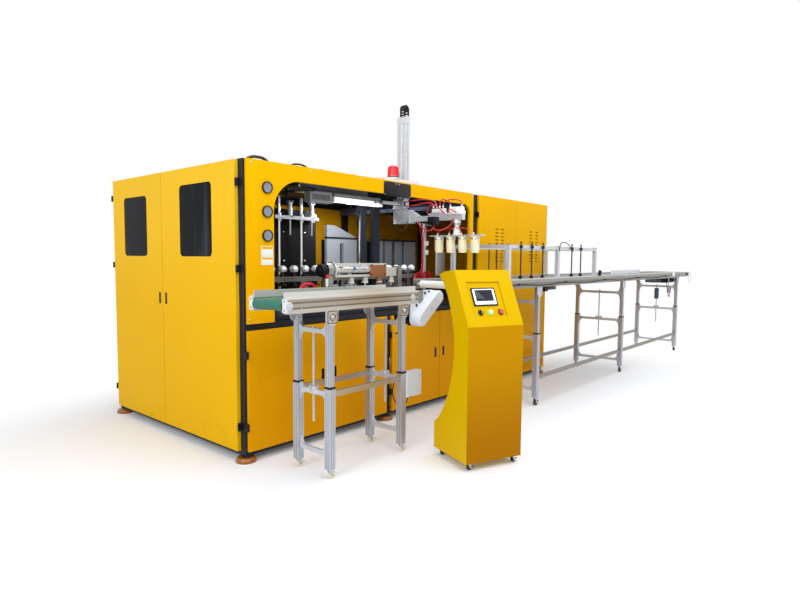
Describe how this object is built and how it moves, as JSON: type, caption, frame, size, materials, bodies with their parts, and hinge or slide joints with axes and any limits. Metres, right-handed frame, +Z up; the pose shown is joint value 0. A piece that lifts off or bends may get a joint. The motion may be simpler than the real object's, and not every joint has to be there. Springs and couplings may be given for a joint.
{
  "type": "blow moulding machine",
  "caption": "Yellow cabinet blow moulding machine with an open front, a take-out arm, belt conveyors on telescopic stands and an operator console.",
  "frame": {"origin": "on the floor under the front left corner of the cabinet frame", "axes": "+X along the front from left to right, +Y into the machine, +Z up"},
  "size_m": [8.8249, 3.7181, 3.0431],
  "materials": {
    "yellow_paint": "smooth gloss paint",
    "dark_paint": "satin paint",
    "white_paint": "satin paint",
    "tinted_window": "dark tinted glazing",
    "gauge_steel": "bright rim",
    "black_plastic": "moulded",
    "pad_rubber": "moulded pad",
    "extrusion": "satin anodised",
    "cast_alloy": "cast and tumbled",
    "steel": "machined",
    "polished_steel": "polished",
    "dark_steel": "blackened",
    "cream_plastic": "moulded",
    "hose_rubber": "smooth",
    "green_belt": "smooth belting",
    "grey_belt": "fine textured belting",
    "wheel_polymer": "moulded",
    "screen_glass": "glossy",
    "start_green": "lit cap",
    "stop_red": "moulded cap"
  },
  "bodies": {
    "machine": {"cabinet_panels": "yellow_paint", "caster_forks": "steel", "caster_wheels": "wheel_polymer", "clamp_fixed": "dark_steel", "console_body": "yellow_paint", "console_screen": "screen_glass", "control_box": "white_paint", "door_hinges": "black_plastic", "fascia_left": "yellow_paint", "fascia_right": "yellow_paint", "guide_columns": "polished_steel", "hoses_and_cables": "hose_rubber", "levelling_feet": "pad_rubber", "machine_frame": "dark_paint", "oven_housing": "steel", "pressure_gauges": "gauge_steel", "roof_plate": "white_paint", "spindle_rail": "extrusion", "spindles": "polished_steel", "stand_braces": "cast_alloy", "stand_tubes": "extrusion", "transfer_drive": "dark_steel", "work_lamp": "white_paint"},
    "front_end_door": {"front_end_door": "yellow_paint", "front_end_window": "tinted_window"},
    "rear_end_door": {"rear_end_door": "yellow_paint", "rear_end_window": "tinted_window"},
    "lower_door_1": {"lower_door_1": "yellow_paint"},
    "lower_door_2": {"lower_door_2": "yellow_paint"},
    "lower_door_3": {"lower_door_3": "yellow_paint"},
    "lower_door_4": {"lower_door_4": "yellow_paint"},
    "side_cabinet_door": {"side_cabinet_door": "yellow_paint"},
    "take_out_arm": {"lift_mast": "extrusion", "drag_chain": "black_plastic", "arm_servo": "cast_alloy", "arm_beam": "extrusion"},
    "gripper": {"gripper_plate": "extrusion", "gripper_cups": "cream_plastic"},
    "stretch_platen": {"stretch_platen": "extrusion"},
    "clamp_half": {"clamp_moving": "steel"},
    "turn_over_beam": {"transfer_beam": "extrusion"},
    "first_deck": {"deck_1_legs": "extrusion", "deck_1_braces": "cast_alloy", "deck_1_rails": "extrusion", "deck_1_belt": "green_belt", "deck_1_guard": "extrusion"},
    "first_tail_roller": {"tail_roller_1": "steel"},
    "first_drive_roller": {"drive_roller_1": "steel"},
    "second_deck": {"deck_2_legs": "extrusion", "deck_2_braces": "cast_alloy", "deck_2_rails": "extrusion", "deck_2_belt": "grey_belt", "deck_2_guides": "extrusion", "deck_2_motor": "dark_steel", "deck_2_cable": "hose_rubber"},
    "second_tail_roller": {"tail_roller_2": "cream_plastic"},
    "second_drive_roller": {"drive_roller_2": "steel"},
    "selector_knob": {"selector_knob": "black_plastic"},
    "start_button": {"start_button": "start_green"},
    "stop_button": {"stop_button": "stop_red"}
  },
  "joints": [
    {"name": "front_end_door_hinge", "type": "hinge", "parent": "machine", "child": "front_end_door", "pos_m": [-0.03, 0.06, 0], "axis": [0, 0, 1], "range_deg": [0, 105]},
    {"name": "rear_end_door_hinge", "type": "hinge", "parent": "machine", "child": "rear_end_door", "pos_m": [-0.03, 2.12, 0], "axis": [0, 0, -1], "range_deg": [0, 105]},
    {"name": "lower_door_1_hinge", "type": "hinge", "parent": "machine", "child": "lower_door_1", "pos_m": [0.018, -0.03, 0], "axis": [0, 0, -1], "range_deg": [0, 21]},
    {"name": "lower_door_2_hinge", "type": "hinge", "parent": "machine", "child": "lower_door_2", "pos_m": [1.548, -0.03, 0], "axis": [0, 0, 1], "range_deg": [0, 23]},
    {"name": "lower_door_3_hinge", "type": "hinge", "parent": "machine", "child": "lower_door_3", "pos_m": [1.622, -0.03, 0], "axis": [0, 0, -1], "range_deg": [0, 95]},
    {"name": "lower_door_4_hinge", "type": "hinge", "parent": "machine", "child": "lower_door_4", "pos_m": [2.965, -0.03, 0], "axis": [0, 0, 1], "range_deg": [0, 80]},
    {"name": "side_cabinet_door_hinge", "type": "hinge", "parent": "machine", "child": "side_cabinet_door", "pos_m": [3.085, -0.03, 0], "axis": [0, 0, -1], "range_deg": [0, 5]},
    {"name": "arm_lift", "type": "slide", "parent": "machine", "child": "take_out_arm", "axis": [0, 0, 1], "range_m": [-0.18, 0]},
    {"name": "gripper_swivel", "type": "hinge", "parent": "take_out_arm", "child": "gripper", "pos_m": [1.91, -0.555, 0], "axis": [0, 0, 1], "range_deg": [0, 90]},
    {"name": "stretch_lift", "type": "slide", "parent": "machine", "child": "stretch_platen", "axis": [0, 0, 1], "range_m": [-0.12, 0]},
    {"name": "clamp_opening", "type": "slide", "parent": "machine", "child": "clamp_half", "axis": [0, 1, 0], "range_m": [0, 0.12]},
    {"name": "turn_over", "type": "hinge", "parent": "machine", "child": "turn_over_beam", "pos_m": [0, 0.1, 1.44], "axis": [1, 0, 0], "range_deg": [0, 180]},
    {"name": "first_deck_height", "type": "slide", "parent": "machine", "child": "first_deck", "axis": [0, 0, 1], "range_m": [-0.06, 0.06]},
    {"name": "second_deck_height", "type": "slide", "parent": "machine", "child": "second_deck", "axis": [0, 0, 1], "range_m": [-0.06, 0.06]},
    {"name": "first_drive_spin", "type": "hinge", "parent": "first_deck", "child": "first_drive_roller", "pos_m": [1.085, -0.525, 1.238], "axis": [0, 1, 0], "continuous": true},
    {"name": "first_tail_spin", "type": "hinge", "parent": "first_deck", "child": "first_tail_roller", "pos_m": [-0.151, -0.525, 1.238], "axis": [0, 1, 0], "continuous": true},
    {"name": "second_drive_spin", "type": "hinge", "parent": "second_deck", "child": "second_drive_roller", "pos_m": [8.6, -0.48, 1.307], "axis": [0, 1, 0], "continuous": true},
    {"name": "second_tail_spin", "type": "hinge", "parent": "second_deck", "child": "second_tail_roller", "pos_m": [1.832, -0.48, 1.307], "axis": [0, 1, 0], "continuous": true},
    {"name": "selector_turn", "type": "hinge", "parent": "machine", "child": "selector_knob", "pos_m": [1.10091, -1.35275, 1.15765], "axis": [-0.3346, -0.8323, 0.442], "range_deg": [-45, 45]},
    {"name": "start_press", "type": "slide", "parent": "machine", "child": "start_button", "axis": [0.3346, 0.8323, -0.442], "range_m": [0, 0.004], "stiffness_N_per_m": 300},
    {"name": "stop_press", "type": "slide", "parent": "machine", "child": "stop_button", "axis": [0.3346, 0.8323, -0.442], "range_m": [0, 0.004], "stiffness_N_per_m": 300}
  ],
  "couplings": [
    {"joint": "first_tail_spin", "follows": "first_drive_spin", "ratio": 1}
  ]
}
